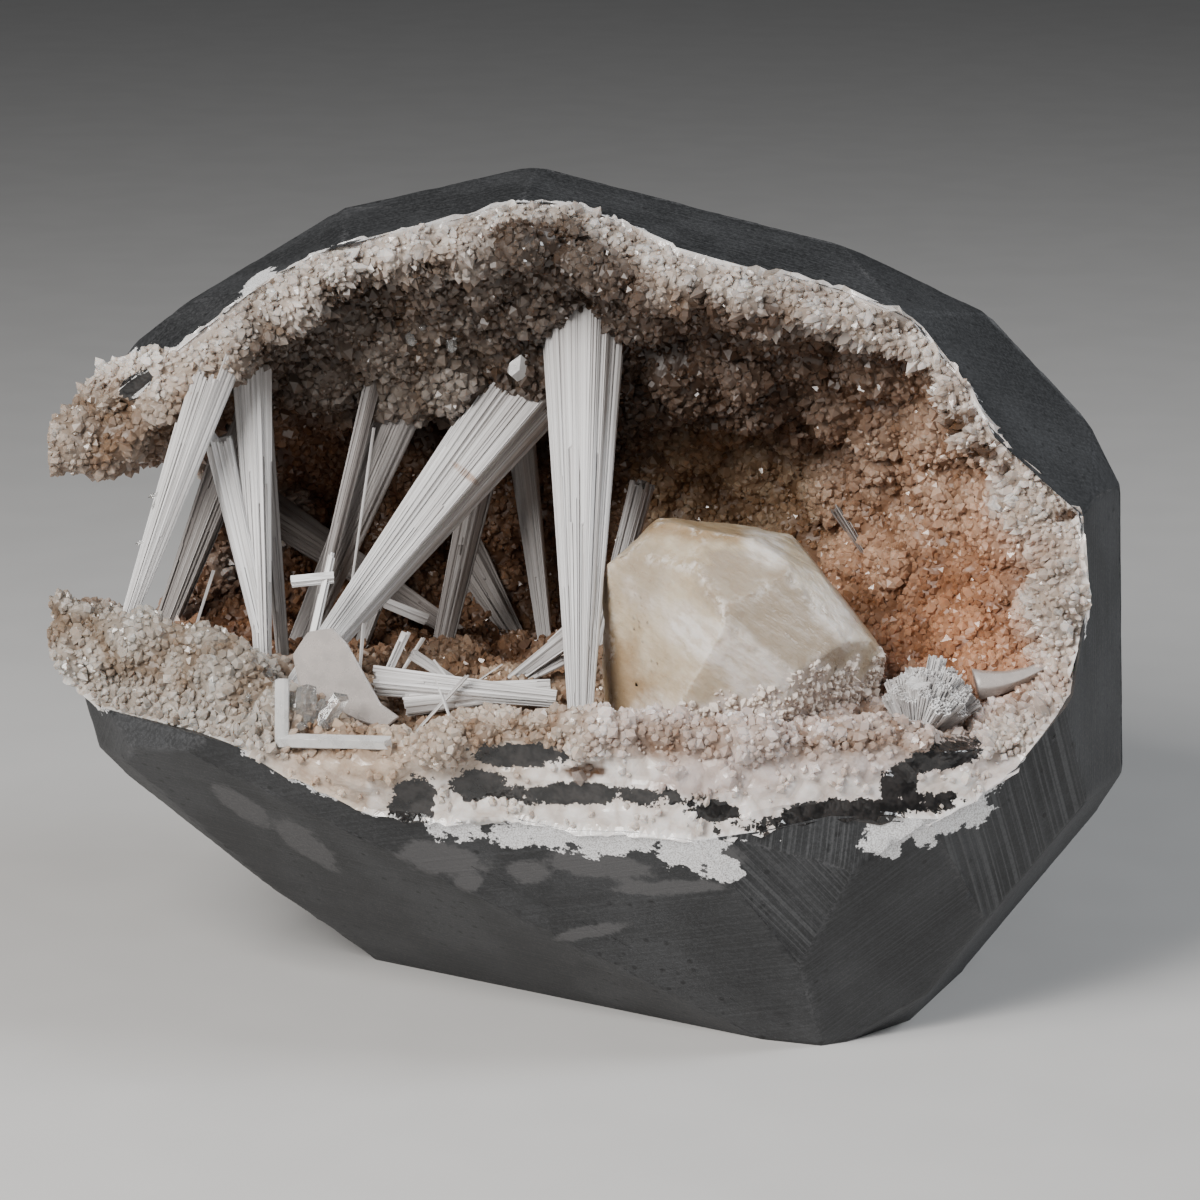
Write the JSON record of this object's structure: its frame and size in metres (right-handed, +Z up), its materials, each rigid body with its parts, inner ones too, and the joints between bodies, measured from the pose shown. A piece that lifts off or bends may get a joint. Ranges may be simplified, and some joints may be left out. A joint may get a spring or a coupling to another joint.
{
  "type": "scolecite geode",
  "caption": "Open geode in dark basalt cut to a flat base: a hollow lined with a quartz druse crust, spanned by fluted scolecite sprays beside one large calcite crystal.",
  "frame": {"origin": "on the flat resting base, under the middle of the whole specimen", "axes": "+X to the right as one looks into the mouth, along the specimen's length; -Y out of the mouth; +Z up"},
  "size_m": [0.2011, 0.1374, 0.1518],
  "materials": {
    "basalt": "fine grained dark grey basalt, sawn and broken, matt with fine saw lines",
    "druse": "quartz druse, white at the rim and cream to peach inside, sparkling crystal faces",
    "scolecite": "silky white radiating needles",
    "calcite": "translucent cream calcite with a frosted foot",
    "blade": "smooth translucent warm grey crystal",
    "clear_crystal": "clear to milky colourless crystal"
  },
  "bodies": {
    "root": {"basalt_shell": "basalt", "druse_crust": "druse", "spray_left_front": "scolecite", "spray_left_back": "scolecite", "spray_left_split": "scolecite", "spray_left_strip": "scolecite", "spray_long_back": "scolecite", "spray_thin_pair": "scolecite", "spray_main_diagonal": "scolecite", "spray_middle_slim": "scolecite", "spray_middle_back": "scolecite", "spray_deep_right": "scolecite", "spray_deep_left": "scolecite", "spray_front_upright": "scolecite", "spray_behind_calcite": "scolecite", "spray_lying": "scolecite", "splinters": "scolecite", "shards_right": "scolecite", "needle_leaning": "scolecite", "needle_upright": "scolecite", "needle_pillar": "scolecite", "front_rod": "scolecite", "fan_right_wall": "scolecite", "calcite": "calcite", "blade_crystal": "blade", "clear_cluster": "clear_crystal", "blade_right": "clear_crystal", "fibrous_mound": "scolecite", "prism_hanging": "clear_crystal"}
  },
  "joints": []
}
